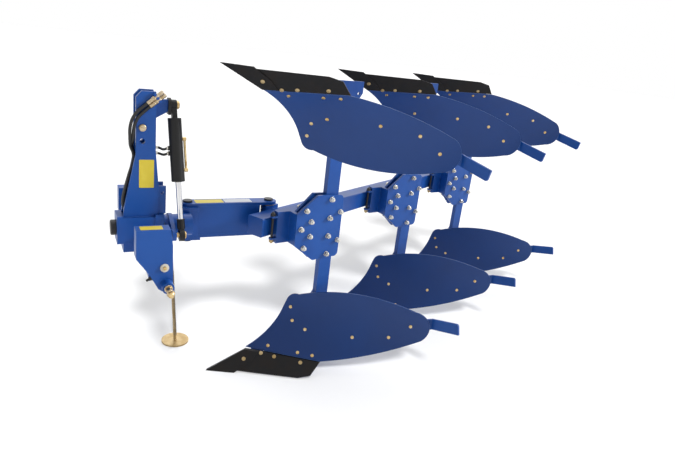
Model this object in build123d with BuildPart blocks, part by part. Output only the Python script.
"""Three-furrow mounted reversible mouldboard plough, parked on its lower bodies and its stand.

Lengths are millimetres. +X points to the rear, +Y to the right of travel, +Z up.
Three frames share the height of the turnover axis:
  HEAD   the headstock: its X runs along the turnover axis, x = 0 at the rear face of the hub
  FIELD  the plough bodies: turned BODY_YAW to the right of the headstock
  BEAM   the diagonal main beam: x runs along its centre line from its closed front end
The upper bodies mirror the lower ones in the level plane through the axis.
"""
from build123d import *
from math import atan2, cos, degrees, hypot, radians, sin
import os

# ---------------------------------------------------------------- driving dimensions
AXIS_HEIGHT = 825.0          # turnover axis above the floor
HEAD_X = -1296.6             # hub's rear face and turnover axis, from the middle of the plough
HEAD_Y = -193.7
BODY_YAW = 10.0              # bodies against the headstock, seen from above
BODY_COUNT = 3
BODY_PITCH = 900.0           # from one body to the next, along travel
BODY_STEP = 300.0            # and sideways: the working width of a body

RUNNING_GAP = 0.1            # between a pin and its bore, all round
SEAT_GAP = 0.3               # between curved plates bolted face to face

# headstock
MAST_TOP = 665.0             # above the axis, like every height below
MAST_GAP = 56.0              # between the mast plates
MAST_PLATE = 22.0
MAST_FRONT = -276.0
MAST_REAR = -187.0
BACK_PLATE = 12.0
TOP_LINK_BORE = 25.5
TOP_LINK_X = -247.0
TOP_LINK_UPPER_Z = 498.0
TOP_LINK_LOWER_Z = 435.0
HOUSING_HALF = 65.0          # square axle housing
HOUSING_FRONT = -362.0
HOUSING_REAR = -145.0
HOUSING_NOSE = 29.0          # length of the deeper front end
FLANGE_RISE = 12.0           # of the rear flange above the housing
FLANGE_DROP = 5.0            # and below it
SHAFT_DIAMETER = 60.0
NUT_RADIUS = 38.0
HITCH_HALF_WIDTH = 380.0     # outer faces of the hitch brackets
HITCH_PLATE = 20.0
HITCH_BOX_DEPTH = 70.0
PIN_X = -185.0               # lower link pins
PIN_Z = -153.0
PIN_DIAMETER = 28.0
PIN_BOSS = 54.0              # boss that carries the pin on its bracket
BOSS_LENGTH = 44.0
PIN_LENGTH = 76.0            # beyond the boss
PIN_SPIGOT = 20.0            # pressed through the boss
HITCH_WALL = 12.0
CROSSBEAM_TOP = -22.0
CROSSBEAM_BOTTOM = -135.0
CROSSBEAM_FRONT = -257.0
CROSSBEAM_REAR = MAST_REAR

# turnover cylinder
TOP_EYE_X = -100.0
CRANK_EYE_X = -70.0
CYLINDER_TOP_Z = 605.0
CRANK_Y = -116.0
CRANK_Z = -14.0
EYE_RADIUS = 24.0
EYE_WIDTH = 24.0
CYLINDER_PIN = 25.0
BARREL_RADIUS = 32.0
BARREL_START = 62.0          # from the top pin, down the cylinder
BARREL_END = 366.0
BARREL_WALL = 7.0
GLAND_LENGTH = 22.0
BARREL_CAP = 18.0
ROD_DIAMETER = 28.0
ROD_SPIGOT = 20.0            # screwed into the rod's eye
ROD_EYE_RADIUS = 31.0
ROD_EYE_LENGTH = 80.0        # from the pin to the top of its neck
ROD_NECK = 38.0
PISTON_LENGTH = 24.0
PORTS = (206.0, 231.0)       # hose ports, from the top pin
PIPE_ENDS = (160.0, 310.0)
EAR_THICKNESS = 14.0
EYE_GAP = 2.0                # beside an eye
CRANK_THICKNESS = 20.0
CRANK_GAP = 16.0             # between the crank and the eye
CRANK_CLEAR = 3.5            # left for the leaning stroke between the crank and the pin
CRANK_PIN_HEAD = 8.0

# hub and front link
HUB_RADIUS = 56.0
HUB_FRONT = -140.0
LINK_Y = 90.0
LINK_LENGTH = 447.0          # between its two upright pins
LINK_WIDTH = 86.0
LINK_INNER = 78.0            # half height inside the flanges
LINK_FLANGE = 16.0
LINK_WEB = 12.0
LINK_PIN = 30.0
WEB_FRONT = 45.0             # from the hub's upright pin
WEB_REAR = 385.0
PIN_HEAD_HEIGHT = 10.0
PIVOT_WASHER = 6.0           # above and below the beam's lug

# main beam and clamps
BEAM_SIZE = 105.0
BEAM_WALL = 10.0
BEAM_OVERHANG = 410.6        # beyond the stretch that the bodies' pitch takes
BEAM_X = 311.3               # centre of the closed front end, in FIELD
BEAM_Y = -125.2
CAP_THICKNESS = 8.0
CLAMP_PLATE = 15.0
CLAMP_OUTER_Y = -262.0       # outer face of the left clamp plate, in FIELD
CLAMP_FRONT = 477.0
CLAMP_REAR = 774.0
CLAMP_HALF = 186.0
CLAMP_BLOCK_HALF = 88.0
CLAMP_BLOCK_FRONT = 402.0
CLAMP_BLOCK_Y = -190.0       # left face of the block's nose, in FIELD
CLAMP_WALL = 12.0
SPACER_REAR = 500.0          # end of the solid nose between the clamp plates
LEG_THICKNESS = 35.0
LEG_WIDTH = 80.0
LEG_FRONT = 665.0
LEG_START = 18.0             # half the space between the upper and the lower leg

# plough body, from its share tip
TIP_X = 68.0                 # share tip of the first body, in FIELD
TIP_Y = -111.0
BOARD_ANGLE = 45.0           # the mouldboard's run against travel
BOARD_THICKNESS = 8.0
PAD_THICKNESS = 12.0
SHARE_THICKNESS = 12.0
POINT_RISE = 4.0             # bar point above the share's face
LANDSIDE_THICKNESS = 12.0
LANDSIDE_BOTTOM = 42.0       # above the floor
LANDSIDE_TOP = 136.0
TAIL_BAR_WIDTH = 60.0
TAIL_BAR_THICKNESS = 12.0
TAIL_SLOPE = 0.12            # of the bar's first length, across the mouldboard's run
TAIL_BEND = 1195.0           # where it bends forward, along the run
TAIL_BEND_ANGLE = 36.0
STAY_RUN = 765.0             # where the stay from the leg meets the mouldboard
STAY_Z = 226.0
TAIL_BOLTS = [(968, 253), (1080, 332)]      # along the mouldboard and above the floor
CUT_DEPTH = 80.0             # cleared in front of the share and the mouldboard

# parking stand, on the front link
STAND_Y = 258.0
STAND_PIVOT_X = -54.0
STAND_PIVOT_Z = -150.0
STAND_FOOT_X = -13.0
STAND_FOOT_DIAMETER = 156.0
STAND_FOOT_THICKNESS = 10.0
STAND_ROD = 18.0
STAND_PIN = 16.0
STAND_BRACKET = 16.0


# ---------------------------------------------------------------- frames and views
HEAD = Plane(origin=(HEAD_X, HEAD_Y, AXIS_HEIGHT))
FIELD = HEAD.rotated((0, 0, BODY_YAW))


def plan(frame, z=0.0, x=0.0, y=0.0, turn=0.0):
    """A level plane of a frame, with its own x along the frame's x unless turned."""
    origin = frame.from_local_coords(Vector(x, y, z))
    return Plane(origin=origin, x_dir=frame.x_dir, z_dir=frame.z_dir).rotated((0, 0, turn))


def side(frame, y=0.0, x=0.0, z=0.0):
    """An upright plane along a frame's x, facing its left: drawn as (x, z)."""
    origin = frame.from_local_coords(Vector(x, y, z))
    return Plane(origin=origin, x_dir=frame.x_dir, z_dir=-frame.y_dir)


def front(frame, x=0.0, y=0.0, z=0.0):
    """An upright plane across a frame, facing its rear: drawn as (y, z)."""
    origin = frame.from_local_coords(Vector(x, y, z))
    return Plane(origin=origin, x_dir=frame.y_dir, z_dir=frame.x_dir)


BEAM_TURN = degrees(atan2(BODY_STEP, BODY_PITCH))
BEAM_LENGTH = (BODY_COUNT - 1) * hypot(BODY_PITCH, BODY_STEP) + BEAM_OVERHANG
BEAM = plan(FIELD, x=BEAM_X, y=BEAM_Y, turn=BEAM_TURN)
TIP = plan(FIELD, x=TIP_X, y=TIP_Y, z=-AXIS_HEIGHT)
BOARD = plan(TIP, turn=-BOARD_ANGLE)
STEP = FIELD.from_local_coords(Vector(BODY_PITCH, BODY_STEP, 0)) - FIELD.origin
STATIONS = [STEP * number for number in range(BODY_COUNT)]


def save(piece, name):
    """Label a finished piece and write it as its own STEP file."""
    piece.part.label = name
    export_step(piece.part, f"parts/{name}.step")


def copy_at(shape, station, flip=False):
    """The shape moved to a body station, mirrored to the upper side if asked."""
    with BuildPart() as piece:
        with Locations(station):
            add(shape)
        if flip:
            mirror(about=HEAD, mode=Mode.REPLACE)
    return piece


def bar(plane, points, depth, both=False):
    """A plate with straight edges, drawn on a plane and given its thickness."""
    with BuildPart() as piece:
        with BuildSketch(plane):
            with BuildLine():
                Polyline(*points, close=True)
            make_face()
        extrude(amount=depth, both=both)
    return piece.part


# ---------------------------------------------------------------- headstock
def mast_plate(inner_y, outward):
    """One mast plate; its outline is drawn as (x, z), from the foot up the front edge."""
    flange_top = HOUSING_HALF + FLANGE_RISE
    outline = [
        (-333, HOUSING_HALF), (-330, 105), (MAST_FRONT, 372), (MAST_FRONT, MAST_TOP - 28),
        (MAST_FRONT + 25, MAST_TOP), (MAST_REAR, MAST_TOP), (MAST_REAR, 396),
        (-172, 220), (-172, flange_top), (MAST_REAR, flange_top), (MAST_REAR, HOUSING_HALF),
    ]
    with BuildPart() as plate:
        with BuildSketch(side(HEAD, y=inner_y)):
            with BuildLine():
                Polyline(*outline, close=True)
            make_face()
            with Locations((TOP_LINK_X, TOP_LINK_UPPER_Z), (TOP_LINK_X, TOP_LINK_LOWER_Z)):
                Circle(TOP_LINK_BORE / 2, mode=Mode.SUBTRACT)
        extrude(amount=-outward * MAST_PLATE)
    return plate


def make_headstock():
    save(mast_plate(-MAST_GAP / 2, -1), "mast_plate_left")
    save(mast_plate(MAST_GAP / 2, 1), "mast_plate_right")

    with BuildPart() as back:
        with BuildSketch(front(HEAD, x=MAST_REAR)):
            with Locations((0, HOUSING_HALF)):
                Rectangle(MAST_GAP, MAST_TOP - 5 - HOUSING_HALF, align=(Align.CENTER, Align.MIN))
        extrude(amount=-BACK_PLATE)
    save(back, "mast_back_plate")

    flange_top = HOUSING_HALF + FLANGE_RISE
    with BuildPart() as gussets:
        for sign in (-1, 1):
            with BuildSketch(side(HEAD, y=sign * (MAST_GAP / 2 + 6))):
                with BuildLine():
                    Polyline((-172, flange_top), (-172, 217), (-136, 217), (-136, flange_top), close=True)
                make_face()
                with Locations((-155, 183)):
                    Circle(8, mode=Mode.SUBTRACT)
            extrude(amount=-sign * 12)
    save(gussets, "mast_gussets")

    with BuildPart() as housing:
        with BuildSketch(front(HEAD, x=HOUSING_FRONT)):
            RectangleRounded(2 * HOUSING_HALF, 2 * (HOUSING_HALF + FLANGE_DROP), 12)
        extrude(amount=HOUSING_NOSE)
        with BuildSketch(front(HEAD, x=HOUSING_FRONT + HOUSING_NOSE)):
            Rectangle(2 * HOUSING_HALF, 2 * HOUSING_HALF)
        extrude(amount=MAST_REAR - HOUSING_FRONT - HOUSING_NOSE)
        with BuildSketch(front(HEAD, x=MAST_REAR, z=(FLANGE_RISE - FLANGE_DROP) / 2)):
            RectangleRounded(
                2 * (HOUSING_HALF + FLANGE_DROP), 2 * HOUSING_HALF + FLANGE_RISE + FLANGE_DROP, 12,
            )
        extrude(amount=HOUSING_REAR - MAST_REAR)
        with BuildSketch(front(HEAD, x=HOUSING_FRONT)):
            Circle(SHAFT_DIAMETER / 2 + RUNNING_GAP)
        extrude(amount=HOUSING_REAR - HOUSING_FRONT, mode=Mode.SUBTRACT)
    save(housing, "axle_housing")

    width = HITCH_HALF_WIDTH - HITCH_PLATE
    with BuildPart() as crossbeam:
        with BuildSketch(front(HEAD, x=CROSSBEAM_FRONT, z=CROSSBEAM_TOP)):
            Rectangle(2 * width, CROSSBEAM_TOP - CROSSBEAM_BOTTOM, align=(Align.CENTER, Align.MAX))
        extrude(amount=CROSSBEAM_REAR - CROSSBEAM_FRONT)
        with BuildSketch(front(HEAD, x=HOUSING_FRONT + HOUSING_NOSE)):
            Rectangle(100, 2 * 115)
        extrude(amount=CROSSBEAM_FRONT - HOUSING_FRONT - HOUSING_NOSE)
        with BuildSketch(front(HEAD, x=CROSSBEAM_FRONT - 100)):
            Rectangle(2 * HOUSING_HALF, 500, align=(Align.CENTER, Align.MIN))
            with Locations((0, -HOUSING_HALF)):
                Rectangle(2 * HOUSING_HALF, 500, align=(Align.CENTER, Align.MIN))
        extrude(amount=200, mode=Mode.SUBTRACT)
    save(crossbeam, "crossbeam")

    boss_end = HITCH_HALF_WIDTH + BOSS_LENGTH
    for name, sign in (("left", -1), ("right", 1)):
        save(hitch_bracket(sign), f"hitch_bracket_{name}")
        with BuildPart() as pin:
            with BuildSketch(side(HEAD, y=sign * boss_end, x=PIN_X, z=PIN_Z)):
                Circle(PIN_DIAMETER / 2)
            extrude(amount=-sign * PIN_LENGTH)
            with BuildSketch(side(HEAD, y=sign * boss_end, x=PIN_X, z=PIN_Z)):
                Circle(PIN_SPIGOT / 2)
            extrude(amount=sign * (BOSS_LENGTH + HITCH_PLATE))
            chamfer(pin.faces().sort_by(Axis.Y)[0 if sign < 0 else -1].edges(), 4)
        save(pin, f"lower_link_pin_{name}")

    reach = MAST_GAP / 2 + MAST_PLATE
    with BuildPart() as top_pin:
        with BuildSketch(side(HEAD, y=reach + 14, x=TOP_LINK_X, z=TOP_LINK_UPPER_Z)):
            Circle(TOP_LINK_BORE / 2 - RUNNING_GAP)
        extrude(amount=2 * reach + 20)
        with BuildSketch(side(HEAD, y=-reach, x=TOP_LINK_X, z=TOP_LINK_UPPER_Z)):
            Circle(17)
        extrude(amount=9)
        fillet(top_pin.edges().sort_by(Axis.Y)[0], 6)
    save(top_pin, "top_link_pin")


def hitch_bracket(sign):
    """Drop plate with a box behind its upper part, on one side of the headstock."""
    outline = [
        (-317, 110), (-317, CROSSBEAM_TOP), (-262, -97), (-222, -172), (-205, -184),
        (-172, -184), (-157, -165), (-161, 37), (-171, 110),
    ]
    inner = sign * (HITCH_HALF_WIDTH - HITCH_PLATE)
    depth = HITCH_BOX_DEPTH - HITCH_PLATE
    with BuildPart() as bracket:
        with BuildSketch(side(HEAD, y=inner)) as drop:
            with BuildLine():
                Polyline(*outline, close=True)
            make_face()
            fillet(drop.vertices().group_by(Axis.Y)[0], 14)
        extrude(amount=-sign * HITCH_PLATE)
        with BuildSketch(side(HEAD, y=inner)):
            with BuildLine():
                Polyline((-317, 110), (-317, CROSSBEAM_TOP), (-171, CROSSBEAM_TOP), (-171, 110), close=True)
            make_face()
        extrude(amount=sign * depth)
        with BuildSketch(plan(HEAD, z=CROSSBEAM_TOP)):
            with Locations((-244, inner - sign * (depth - HITCH_WALL) / 2)):
                Rectangle(146 - 2 * HITCH_WALL, depth - HITCH_WALL)
        extrude(amount=110 - HITCH_WALL - CROSSBEAM_TOP, mode=Mode.SUBTRACT)
        with BuildSketch(side(HEAD, y=sign * HITCH_HALF_WIDTH, x=PIN_X, z=PIN_Z)):
            Circle(PIN_BOSS / 2)
        extrude(amount=-sign * BOSS_LENGTH)
        with BuildSketch(side(HEAD, y=inner, x=PIN_X, z=PIN_Z)):
            Circle(PIN_SPIGOT / 2 + RUNNING_GAP)
        extrude(amount=-sign * (HITCH_PLATE + BOSS_LENGTH), mode=Mode.SUBTRACT)
    return bracket


def make_cylinder():
    """Bracket, pin, barrel and rod of the cylinder that turns the plough over."""
    ear_front = TOP_EYE_X - EYE_WIDTH / 2 - EYE_GAP - EAR_THICKNESS
    with BuildPart() as arm:
        add(bar(
            side(HEAD, z=CYLINDER_TOP_Z),
            [(MAST_REAR, -68), (MAST_REAR, 20), (ear_front, 23), (ear_front, -33)], 12.5, both=True,
        ))
    save(arm, "cylinder_arm")

    with BuildPart() as ear:
        with BuildSketch(front(HEAD, x=ear_front, z=CYLINDER_TOP_Z)):
            with BuildLine():
                CenterArc((0, 0), 32, 0, 360)
                Polyline((-22, -46), (22, -46), (20, -40))
            make_hull()
            Circle(CYLINDER_PIN / 2 + RUNNING_GAP, mode=Mode.SUBTRACT)
        extrude(amount=EAR_THICKNESS)
    save(ear, "cylinder_ear")

    head_start = TOP_EYE_X + EYE_WIDTH / 2 + EYE_GAP
    with BuildPart() as top_pin:
        with BuildSketch(front(HEAD, x=ear_front, z=CYLINDER_TOP_Z)):
            Circle(CYLINDER_PIN / 2)
        extrude(amount=head_start - ear_front)
        with BuildSketch(front(HEAD, x=head_start, z=CYLINDER_TOP_Z)):
            Circle(20)
        extrude(amount=13)
        fillet(top_pin.edges().sort_by(Axis.X)[-1], 8)
    save(top_pin, "cylinder_top_pin")

    top = HEAD.from_local_coords(Vector(TOP_EYE_X, 0, CYLINDER_TOP_Z))
    foot = HEAD.from_local_coords(Vector(CRANK_EYE_X, CRANK_Y, CRANK_Z))
    length = (foot - top).length
    line = Plane(origin=top, x_dir=(1, 0, 0), z_dir=foot - top)
    inside = BARREL_RADIUS - BARREL_WALL

    with BuildPart() as barrel:
        with BuildSketch(line.offset(BARREL_START)):
            Circle(BARREL_RADIUS)
        extrude(amount=BARREL_END - BARREL_START)
        with BuildSketch(line.offset(BARREL_START + BARREL_CAP)):
            Circle(inside)
        extrude(amount=BARREL_END - BARREL_START - BARREL_CAP - GLAND_LENGTH, mode=Mode.SUBTRACT)
        with BuildSketch(line.offset(BARREL_END)):
            Circle(ROD_DIAMETER / 2 + RUNNING_GAP)
        extrude(amount=-GLAND_LENGTH, mode=Mode.SUBTRACT)
        with BuildSketch(line):
            Rectangle(EYE_WIDTH, 34)
        extrude(amount=BARREL_START)
        with BuildSketch(front(HEAD, x=TOP_EYE_X - EYE_WIDTH / 2, z=CYLINDER_TOP_Z)):
            Circle(EYE_RADIUS)
        extrude(amount=EYE_WIDTH)
        with BuildSketch(front(HEAD, x=TOP_EYE_X - EYE_WIDTH / 2 - EYE_GAP, z=CYLINDER_TOP_Z)):
            Circle(CYLINDER_PIN / 2 + RUNNING_GAP)
        extrude(amount=EYE_WIDTH + 2 * EYE_GAP, mode=Mode.SUBTRACT)
        chamfer(barrel.edges().filter_by(GeomType.CIRCLE).filter_by(
            lambda edge: abs(edge.radius - BARREL_RADIUS) < 0.01), 2)
        for distance in PORTS:
            with BuildSketch(Plane(origin=line.offset(distance).origin, z_dir=(-1, 0, 0))):
                Circle(11)
            extrude(amount=BARREL_RADIUS + 8)
        with BuildSketch(line.offset(BARREL_START + BARREL_CAP)):
            Circle(inside)
        extrude(amount=BARREL_END - BARREL_START - BARREL_CAP - GLAND_LENGTH, mode=Mode.SUBTRACT)
    save(barrel, "cylinder_barrel")

    with BuildPart() as pipe:
        rear = BARREL_RADIUS + 9
        for distance in PIPE_ENDS:
            with BuildSketch(Plane(origin=line.offset(distance).origin + Vector(BARREL_RADIUS - 0.5, 0, 0),
                                   z_dir=(1, 0, 0))):
                Circle(9)
            extrude(amount=18)
        with BuildSketch(line.offset(PIPE_ENDS[0])):
            with Locations((rear, 0)):
                Circle(6)
        extrude(amount=PIPE_ENDS[1] - PIPE_ENDS[0])
        with BuildSketch(line.offset(BARREL_START)):
            Circle(BARREL_RADIUS)
        extrude(amount=BARREL_END - BARREL_START, mode=Mode.SUBTRACT)
    save(pipe, "cylinder_pipe")

    piston_start = BARREL_END - GLAND_LENGTH - 4 - PISTON_LENGTH
    with BuildPart() as rod:
        with BuildSketch(line.offset(piston_start)):
            Circle(inside - RUNNING_GAP)
        extrude(amount=PISTON_LENGTH)
        with BuildSketch(line.offset(piston_start)):
            Circle(ROD_DIAMETER / 2)
        extrude(amount=length - ROD_EYE_LENGTH - piston_start)
        with BuildSketch(line.offset(length - ROD_EYE_LENGTH)):
            Circle(ROD_SPIGOT / 2)
        extrude(amount=ROD_EYE_LENGTH - ROD_EYE_RADIUS)
    save(rod, "cylinder_rod")

    eye_front = CRANK_EYE_X - EYE_WIDTH / 2
    with BuildPart() as rod_eye:
        with BuildSketch(line.offset(length - ROD_EYE_LENGTH)):
            Circle(ROD_NECK / 2)
        extrude(amount=ROD_EYE_LENGTH - ROD_EYE_RADIUS)
        with BuildSketch(front(HEAD, x=eye_front, y=CRANK_Y, z=CRANK_Z)):
            Circle(ROD_EYE_RADIUS)
        extrude(amount=EYE_WIDTH)
        with BuildSketch(line.offset(length - ROD_EYE_RADIUS)):
            Rectangle(EYE_WIDTH - 2, ROD_NECK - 4)
        extrude(amount=ROD_EYE_RADIUS)
        with BuildSketch(line.offset(length - ROD_EYE_LENGTH)):
            Circle(ROD_SPIGOT / 2 + RUNNING_GAP)
        extrude(amount=ROD_EYE_LENGTH - ROD_EYE_RADIUS, mode=Mode.SUBTRACT)
        with BuildSketch(front(HEAD, x=eye_front - EYE_GAP, y=CRANK_Y, z=CRANK_Z)):
            Circle(CYLINDER_PIN / 2 + RUNNING_GAP)
        extrude(amount=EYE_WIDTH + 2 * EYE_GAP, mode=Mode.SUBTRACT)
    save(rod_eye, "rod_eye")

    pin_front = eye_front - CRANK_GAP + CRANK_CLEAR
    pin_head = CRANK_EYE_X + EYE_WIDTH / 2 + EYE_GAP
    with BuildPart() as crank_pin:
        with BuildSketch(front(HEAD, x=pin_front, y=CRANK_Y, z=CRANK_Z)):
            Circle(CYLINDER_PIN / 2)
        extrude(amount=pin_head - pin_front)
        with BuildSketch(front(HEAD, x=pin_head, y=CRANK_Y, z=CRANK_Z)):
            Circle(18)
        extrude(amount=CRANK_PIN_HEAD)
        fillet(crank_pin.edges().sort_by(Axis.X)[-1], 5)
    save(crank_pin, "crank_pin")


# ---------------------------------------------------------------- turning frame
def make_turning_frame():
    with BuildPart() as shaft:
        with BuildSketch(front(HEAD, x=HOUSING_FRONT)):
            Circle(SHAFT_DIAMETER / 2)
        extrude(amount=HUB_FRONT - HOUSING_FRONT)
        with BuildSketch(front(HEAD, x=HUB_FRONT)):
            Circle(52)
        extrude(amount=HOUSING_REAR + RUNNING_GAP - HUB_FRONT)
    save(shaft, "turnover_shaft")

    with BuildPart() as nut:
        with BuildSketch(front(HEAD, x=HOUSING_FRONT - RUNNING_GAP)):
            Circle(NUT_RADIUS)
        extrude(amount=-26)
        chamfer(nut.edges().sort_by(Axis.X)[0], 4)
        with BuildSketch(front(HEAD, x=HOUSING_FRONT)):
            Circle(SHAFT_DIAMETER / 2)
        extrude(amount=-RUNNING_GAP)
    save(nut, "shaft_nut")

    crank_front = CRANK_EYE_X - EYE_WIDTH / 2 - CRANK_GAP - CRANK_THICKNESS
    with BuildPart() as hub:
        with BuildSketch(front(HEAD, x=HUB_FRONT)):
            Circle(HUB_RADIUS)
        extrude(amount=-HUB_FRONT)
        with BuildSketch(plan(HEAD)):
            with BuildLine():
                CenterArc((0, LINK_Y), LINK_WIDTH / 2 - 1, 0, 360)
                Polyline((8 - LINK_WIDTH / 2, 30), (WEB_FRONT - SEAT_GAP, 30), (WEB_FRONT - SEAT_GAP, 62))
            make_hull()
        extrude(amount=LINK_INNER, both=True)
        with BuildSketch(plan(HEAD, z=-LINK_INNER, y=LINK_Y)):
            Circle(LINK_PIN / 2 + RUNNING_GAP)
        extrude(amount=2 * LINK_INNER, mode=Mode.SUBTRACT)
    save(hub, "turnover_hub")

    with BuildPart() as crank:
        with BuildSketch(front(HEAD, x=crank_front)):
            with BuildLine():
                CenterArc((0, 0), HUB_RADIUS + 6, 0, 360)
                CenterArc((CRANK_Y, CRANK_Z), EYE_RADIUS + 4, 0, 360)
            make_hull()
            Circle(HUB_RADIUS + SEAT_GAP, mode=Mode.SUBTRACT)
        extrude(amount=CRANK_THICKNESS)
    save(crank, "turnover_crank")

    middle = (LINK_LENGTH / 2, LINK_Y)
    with BuildPart() as flanges:
        for level in (LINK_INNER, -LINK_INNER - LINK_FLANGE):
            with BuildSketch(plan(HEAD, z=level)):
                with Locations(middle):
                    SlotCenterToCenter(LINK_LENGTH, LINK_WIDTH)
                with Locations((0, LINK_Y), (LINK_LENGTH, LINK_Y)):
                    Circle(LINK_PIN / 2 + RUNNING_GAP, mode=Mode.SUBTRACT)
            extrude(amount=LINK_FLANGE)
    save(flanges, "link_flanges")

    with BuildPart() as webs:
        for sign in (-1, 1):
            edge = LINK_Y + sign * (LINK_WIDTH / 2 - LINK_WEB / 2)
            with BuildSketch(plan(HEAD, z=-LINK_INNER)):
                with Locations((WEB_FRONT, edge)):
                    Rectangle(WEB_REAR - WEB_FRONT, LINK_WEB, align=(Align.MIN, Align.CENTER))
            extrude(amount=2 * LINK_INNER)
    save(webs, "link_webs")

    top = LINK_INNER + LINK_FLANGE
    with BuildPart() as pins:
        for x, below in ((0, top + STAND_BRACKET), (LINK_LENGTH, top)):
            with BuildSketch(plan(HEAD, z=-below, x=x, y=LINK_Y)):
                Circle(LINK_PIN / 2)
            extrude(amount=below + top)
            for level, rise in ((top, PIN_HEAD_HEIGHT), (-below, -PIN_HEAD_HEIGHT)):
                with BuildSketch(plan(HEAD, z=level, x=x, y=LINK_Y)):
                    Circle(24)
                extrude(amount=rise)
    save(pins, "link_pins")


def make_beam():
    """Square tube with its pivot lug, and the plates that close its ends."""
    half = BEAM_SIZE / 2
    pivot = BEAM.to_local_coords(HEAD.from_local_coords(Vector(LINK_LENGTH, LINK_Y, 0)))
    with BuildPart() as beam:
        with BuildSketch(front(BEAM)):
            RectangleRounded(BEAM_SIZE, BEAM_SIZE, 8)
            Rectangle(BEAM_SIZE - 2 * BEAM_WALL, BEAM_SIZE - 2 * BEAM_WALL, mode=Mode.SUBTRACT)
        extrude(amount=BEAM_LENGTH)
        with BuildSketch(plan(BEAM)):
            with BuildLine():
                CenterArc((pivot.X, pivot.Y), LINK_WIDTH / 2 - 2, 0, 360)
                Polyline((pivot.X - 48, half - 2), (pivot.X + 48, half - 2), (pivot.X + 48, half))
            make_hull()
        extrude(amount=LINK_INNER - PIVOT_WASHER, both=True)
        with BuildSketch(plan(BEAM, z=-LINK_INNER, x=pivot.X, y=pivot.Y)):
            Circle(LINK_PIN / 2 + RUNNING_GAP)
        extrude(amount=2 * LINK_INNER, mode=Mode.SUBTRACT)
        with BuildSketch(front(BEAM)):
            Rectangle(BEAM_SIZE - 2 * BEAM_WALL, BEAM_SIZE - 2 * BEAM_WALL)
        extrude(amount=BEAM_LENGTH, mode=Mode.SUBTRACT)
    save(beam, "main_beam")

    with BuildPart() as washers:
        for level in (-LINK_INNER, LINK_INNER - PIVOT_WASHER):
            with BuildSketch(plan(BEAM, z=level, x=pivot.X, y=pivot.Y)):
                Circle(LINK_WIDTH / 2 - 6)
                Circle(LINK_PIN / 2 + RUNNING_GAP, mode=Mode.SUBTRACT)
            extrude(amount=PIVOT_WASHER)
    save(washers, "pivot_washers")

    with BuildPart() as caps:
        for x, depth in ((0, -CAP_THICKNESS), (BEAM_LENGTH, CAP_THICKNESS)):
            with BuildSketch(front(BEAM, x=x)):
                RectangleRounded(BEAM_SIZE, BEAM_SIZE, 8)
            extrude(amount=depth)
    save(caps, "beam_end_caps")


def beam_left_face(x):
    """Where the beam's left face lies in FIELD, at a distance x along it."""
    turn = radians(BEAM_TURN)
    return BEAM_Y - BEAM_SIZE / 2 / cos(turn) + (x - BEAM_X) * BODY_STEP / BODY_PITCH


def make_clamps():
    """Two plates that grip the legs, and the block that ties them to the beam."""
    outer_inside = CLAMP_OUTER_Y + CLAMP_PLATE
    weld_face = outer_inside + LEG_THICKNESS + CLAMP_PLATE
    with BuildPart() as plates:
        for y, plate_front in ((outer_inside, CLAMP_FRONT), (weld_face, SPACER_REAR)):
            with BuildSketch(side(FIELD, y=y)) as face:
                with BuildLine():
                    Polyline(
                        (plate_front, -CLAMP_BLOCK_HALF), (plate_front, CLAMP_BLOCK_HALF),
                        (602, CLAMP_HALF), (CLAMP_REAR, CLAMP_HALF - 6),
                        (CLAMP_REAR, 6 - CLAMP_HALF), (602, -CLAMP_HALF), close=True,
                    )
                make_face()
                fillet(face.vertices().group_by(Axis.X)[-1], 26)
            extrude(amount=CLAMP_PLATE)
    block_rear = CLAMP_REAR - 4
    hollow_front = CLAMP_BLOCK_FRONT + CLAMP_WALL
    hollow_left = CLAMP_BLOCK_Y + CLAMP_WALL
    with BuildPart() as block:
        with BuildSketch(plan(FIELD)):
            with BuildLine():
                Polyline(
                    (CLAMP_BLOCK_FRONT, beam_left_face(CLAMP_BLOCK_FRONT)),
                    (CLAMP_BLOCK_FRONT, CLAMP_BLOCK_Y), (CLAMP_FRONT, CLAMP_BLOCK_Y),
                    (CLAMP_FRONT, outer_inside), (SPACER_REAR, outer_inside), (SPACER_REAR, weld_face),
                    (block_rear, weld_face), (block_rear, beam_left_face(block_rear)), close=True,
                )
            make_face()
        extrude(amount=CLAMP_BLOCK_HALF, both=True)
        with BuildSketch(plan(FIELD)):
            with BuildLine():
                Polyline(
                    (hollow_front, beam_left_face(hollow_front)), (hollow_front, hollow_left),
                    (SPACER_REAR, hollow_left), (SPACER_REAR, weld_face), (block_rear, weld_face),
                    (block_rear, beam_left_face(block_rear)), close=True,
                )
            make_face()
        extrude(amount=CLAMP_BLOCK_HALF - CLAMP_WALL, both=True, mode=Mode.SUBTRACT)
    for number, station in enumerate(STATIONS, start=1):
        save(copy_at(plates.part, station), f"clamp_plates_{number}")
        save(copy_at(block.part, station), f"clamp_block_{number}")


# ---------------------------------------------------------------- plough bodies
# Sections of the mouldboard's working face, across its run: distance along the run,
# then three points (depth, height) of an arc.
BOARD_SECTIONS = [
    (150, (98, 90), (231, 240), (313, 440)),
    (560, (142, 90), (238, 235), (301, 480)),
    (880, (186, 90), (260, 265), (288, 480)),
    (1200, (240, 90), (296, 290), (262, 460)),
]
SHARE_NORMAL = Vector(0.107, -0.808, 0.579)      # of the flat share, in the run's frame


def circle_through(a, b, c):
    """Centre and radius of the circle through three points."""
    arc = Edge.make_three_point_arc(Vector(*a), Vector(*b), Vector(*c))
    return arc.arc_center, arc.radius


def strip_arcs(section, lift, thickness):
    """The near and far arcs of a strip that follows one section behind the working face."""
    centre, radius = circle_through(*section[1:])
    arcs = []
    for offset in (lift, lift + thickness):
        scale = (radius + offset) / radius
        arcs.append([centre + (Vector(*point) - centre) * scale for point in section[1:]])
    return arcs


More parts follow.
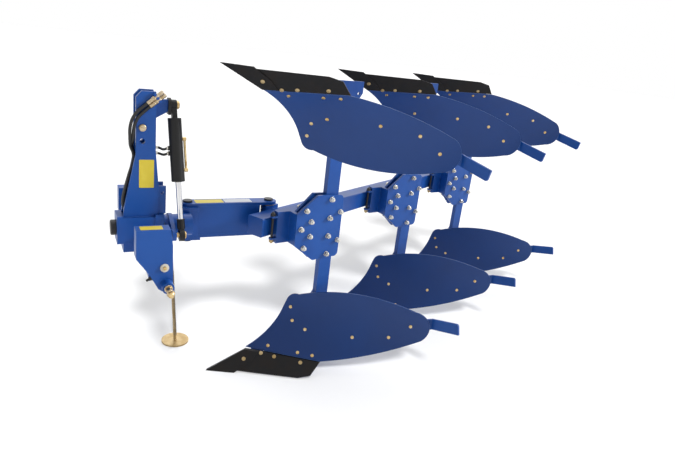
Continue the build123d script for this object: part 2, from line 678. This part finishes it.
def curved_plate(lift, thickness):
    """The untrimmed shell of the mouldboard, or of a plate that lies behind it."""
    with BuildPart() as shell:
        for section in BOARD_SECTIONS:
            near, far = strip_arcs(section, lift, thickness)
            with BuildSketch(front(BOARD, x=section[0])):
                with BuildLine():
                    ThreePointArc(*near)
                    Line(near[-1], far[-1])
                    ThreePointArc(*reversed(far))
                    Line(far[0], near[0])
                make_face()
        loft()
    return shell.part


def trim(edges):
    """A deep block with an outline drawn as (run, height), to cut shells and slabs with."""
    with BuildPart() as block:
        with BuildSketch(side(BOARD)):
            with BuildLine():
                add(edges)
            make_face()
        extrude(amount=500, both=True)
    return block.part


with BuildLine() as board_outline:
    ThreePointArc((181, 112), (284, 205), (346, 330))
    Line((346, 330), (358, 365))
    ThreePointArc((358, 365), (377, 394), (425, 405))
    ThreePointArc((425, 405), (753, 467), (1100, 424))
    ThreePointArc((1100, 424), (1188, 335), (1150, 252))
    ThreePointArc((1150, 252), (880, 148), (609, 90))
    Line((609, 90), (181, 112))

with BuildLine() as share_outline:
    Polyline((0, 0), (155, 3), (163, 12), (505, 9), (572, 25), (609, 88), (183, 110), close=True)

with BuildLine() as board_pad_outline:
    Polyline((265, 122), (340, 240), (380, 350), (440, 350), (540, 225), (590, 105), close=True)

with BuildLine() as point_outline:
    Polyline((0, 0), (155, 3), (232, 60), (262, 106), (183, 110), close=True)

with BuildLine() as share_cut_outline:
    Polyline((0, -20), (700, -20), (700, 96), (0, 112), close=True)

with BuildLine() as share_pad_outline:
    Polyline((165, 45), (165, 92), (560, 72), (540, 35), (260, 22), close=True)


def share_slab(lift, thickness):
    """A flat slab parallel to the share's working face."""
    normal = BOARD.from_local_coords(SHARE_NORMAL) - BOARD.origin
    along = Vector(0, 0, 1).cross(normal).normalized()
    slab_plane = Plane(origin=BOARD.origin, x_dir=along, z_dir=normal)
    with BuildPart() as slab:
        with BuildSketch(slab_plane.offset(-lift)):
            Rectangle(2400, 2400)
        extrude(amount=-thickness)
    return slab.part


def make_bodies():
    with BuildPart() as board:
        add(curved_plate(0, BOARD_THICKNESS))
        add(trim(board_outline.line), mode=Mode.INTERSECT)

    with BuildPart() as bar_point:
        add(share_slab(-POINT_RISE, POINT_RISE + SHARE_THICKNESS / 2))
        add(trim(point_outline.line), mode=Mode.INTERSECT)

    with BuildPart() as share:
        add(share_slab(0, SHARE_THICKNESS))
        add(trim(share_outline.line), mode=Mode.INTERSECT)
        add(bar_point.part)

    with BuildPart() as share_cut:
        add(share_slab(-CUT_DEPTH, CUT_DEPTH + SHARE_THICKNESS))
        add(trim(share_cut_outline.line), mode=Mode.INTERSECT)

    with BuildPart() as board_pad:
        add(curved_plate(BOARD_THICKNESS + SEAT_GAP, PAD_THICKNESS))
        add(trim(board_pad_outline.line), mode=Mode.INTERSECT)

    with BuildPart() as share_pad:
        add(share_slab(SHARE_THICKNESS, PAD_THICKNESS))
        add(trim(share_pad_outline.line), mode=Mode.INTERSECT)

    # the leg stands in the plane between the clamp plates; heights are above the floor
    leg_y = CLAMP_OUTER_Y + CLAMP_PLATE + LEG_THICKNESS - TIP_Y
    leg_front = LEG_FRONT - TIP_X
    leg_rear = leg_front + LEG_WIDTH
    leg_top = AXIS_HEIGHT - LEG_START
    frog_outline = [
        (leg_front, leg_top), (leg_front, 430), (542, 345), (477, 235), (329, 120), (299, 95),
        (235, 42), (560, 36), (640, LANDSIDE_BOTTOM + 8), (640, 120), (leg_rear, 260), (leg_rear, leg_top),
    ]
    foot_inner = -LANDSIDE_THICKNESS - 8
    with BuildPart() as leg:
        add(bar(side(TIP, y=leg_y), frog_outline, LEG_THICKNESS))
        add(board_pad.part)
        add(share_pad.part)
        add(share_cut.part, mode=Mode.SUBTRACT)
        with BuildSketch(plan(TIP, z=LANDSIDE_BOTTOM + 8)):
            with BuildLine():
                Polyline((430, leg_y - 5), (640, leg_y - 5), (640, foot_inner), (430, foot_inner), close=True)
            make_face()
        extrude(amount=LANDSIDE_TOP - LANDSIDE_BOTTOM - 20)
        with BuildSketch(plan(TIP, z=STAY_Z - 25)):
            with BuildLine():
                Polyline((660, leg_y - 20), (674, leg_y - 20), (737, -352), (725, -356), close=True)
            make_face()
        extrude(amount=50)
        with BuildSketch(side(BOARD, y=285, x=STAY_RUN, z=STAY_Z)):
            Circle(20)
        extrude(amount=60)
        add(curved_plate(-CUT_DEPTH, CUT_DEPTH + BOARD_THICKNESS + SEAT_GAP), mode=Mode.SUBTRACT)

    with BuildPart() as landside:
        with BuildSketch(side(TIP, y=foot_inner + LANDSIDE_THICKNESS)):
            with BuildLine():
                Polyline((240, LANDSIDE_BOTTOM), (857, LANDSIDE_BOTTOM), (857, 105), (835, LANDSIDE_TOP),
                         (335, LANDSIDE_TOP), close=True)
            make_face()
            with Locations((828, 108)):
                Circle(8, mode=Mode.SUBTRACT)
        extrude(amount=LANDSIDE_THICKNESS)

    bar_start = plan(BOARD, x=960, y=284.5, turn=degrees(atan2(TAIL_SLOPE, 1.0)))
    bend_y = 284.5 + TAIL_SLOPE * (TAIL_BEND - 960)
    bar_end = plan(BOARD, x=TAIL_BEND, y=bend_y, turn=-TAIL_BEND_ANGLE)
    with BuildPart() as tail_bar:
        with BuildSketch(side(bar_start)):
            with BuildLine():
                Polyline((-28, 224), (125, 300), (240, 322), (240, 384), (105, 362), (-50, 280), close=True)
            make_face()
        extrude(amount=-TAIL_BAR_THICKNESS)
        with BuildSketch(side(bar_end)) as tail_face:
            with BuildLine():
                Polyline((-8, 322), (175, 366), (162, 426), (-8, 384), close=True)
            make_face()
            fillet(tail_face.vertices().sort_by(Axis.Y)[-1], 12)
        extrude(amount=-TAIL_BAR_THICKNESS)
        for x, z in TAIL_BOLTS:
            with BuildSketch(side(BOARD, y=300, x=x, z=z)):
                Circle(16)
            extrude(amount=60)
        add(curved_plate(-CUT_DEPTH, CUT_DEPTH + BOARD_THICKNESS + SEAT_GAP), mode=Mode.SUBTRACT)

    for flip, level in ((False, "lower"), (True, "upper")):
        for number, station in enumerate(STATIONS, start=1):
            save(copy_at(leg.part, station, flip), f"leg_{level}_{number}")
            save(copy_at(board.part, station, flip), f"mouldboard_{level}_{number}")
            save(copy_at(share.part, station, flip), f"share_{level}_{number}")
        for shape, name in ((landside.part, "landsides"), (tail_bar.part, "tail_bars")):
            with BuildPart() as group:
                with Locations(*STATIONS):
                    add(shape)
                if flip:
                    mirror(about=HEAD, mode=Mode.REPLACE)
            save(group, f"{name}_{level}")


# ---------------------------------------------------------------- parking stand
def make_stand():
    flange_face = -LINK_INNER - LINK_FLANGE
    near, far = STAND_Y - 25, STAND_Y + 25
    with BuildPart() as bracket:
        with BuildSketch(plan(HEAD, z=flange_face)):
            with BuildLine():
                Polyline((-34, 52), (64, 52), (64, 122), (48, 134), (0, far), (-74, far), (-74, 215),
                         (-34, 150), close=True)
            make_face()
            with Locations((0, LINK_Y)):
                Circle(LINK_PIN / 2 + RUNNING_GAP, mode=Mode.SUBTRACT)
        extrude(amount=-STAND_BRACKET)
        for y in (near, far - 10):
            with BuildSketch(side(HEAD, y=y + 10)):
                with BuildLine():
                    Polyline((-74, flange_face - 4), (-20, flange_face - 4), (-36, STAND_PIVOT_Z - 18),
                             (-74, STAND_PIVOT_Z - 18), close=True)
                make_face()
            extrude(amount=10)
        with BuildSketch(side(HEAD, y=far, x=STAND_PIVOT_X, z=STAND_PIVOT_Z)):
            Circle(STAND_PIN / 2 + RUNNING_GAP)
        extrude(amount=far - near, mode=Mode.SUBTRACT)
    save(bracket, "stand_bracket")

    with BuildPart() as stand_pin:
        with BuildSketch(side(HEAD, y=far + 6, x=STAND_PIVOT_X, z=STAND_PIVOT_Z)):
            Circle(STAND_PIN / 2)
        extrude(amount=far - near + 12)
    save(stand_pin, "stand_pin")

    pivot = HEAD.from_local_coords(Vector(STAND_PIVOT_X, STAND_Y, STAND_PIVOT_Z))
    foot = HEAD.from_local_coords(Vector(STAND_FOOT_X, STAND_Y, -AXIS_HEIGHT))
    line = Plane(origin=pivot, x_dir=(0, 1, 0), z_dir=foot - pivot)
    reach = (foot - pivot).length
    with BuildPart() as leg:
        with BuildSketch(side(HEAD, y=STAND_Y + 14, x=STAND_PIVOT_X, z=STAND_PIVOT_Z)):
            Circle(STAND_PIN / 2 + 9)
        extrude(amount=28)
        with BuildSketch(line):
            Circle(STAND_ROD / 2)
        extrude(amount=reach - 5)
        with BuildSketch(Plane(origin=foot, z_dir=(0, 0, 1))):
            Circle(STAND_FOOT_DIAMETER / 2)
        extrude(amount=STAND_FOOT_THICKNESS)
        with BuildSketch(side(HEAD, y=STAND_Y + 14, x=STAND_PIVOT_X, z=STAND_PIVOT_Z)):
            Circle(STAND_PIN / 2 + RUNNING_GAP)
        extrude(amount=28, mode=Mode.SUBTRACT)
    save(leg, "stand_leg")


os.makedirs("parts", exist_ok=True)
make_headstock()
make_cylinder()
make_turning_frame()
make_beam()
make_clamps()
make_bodies()
make_stand()
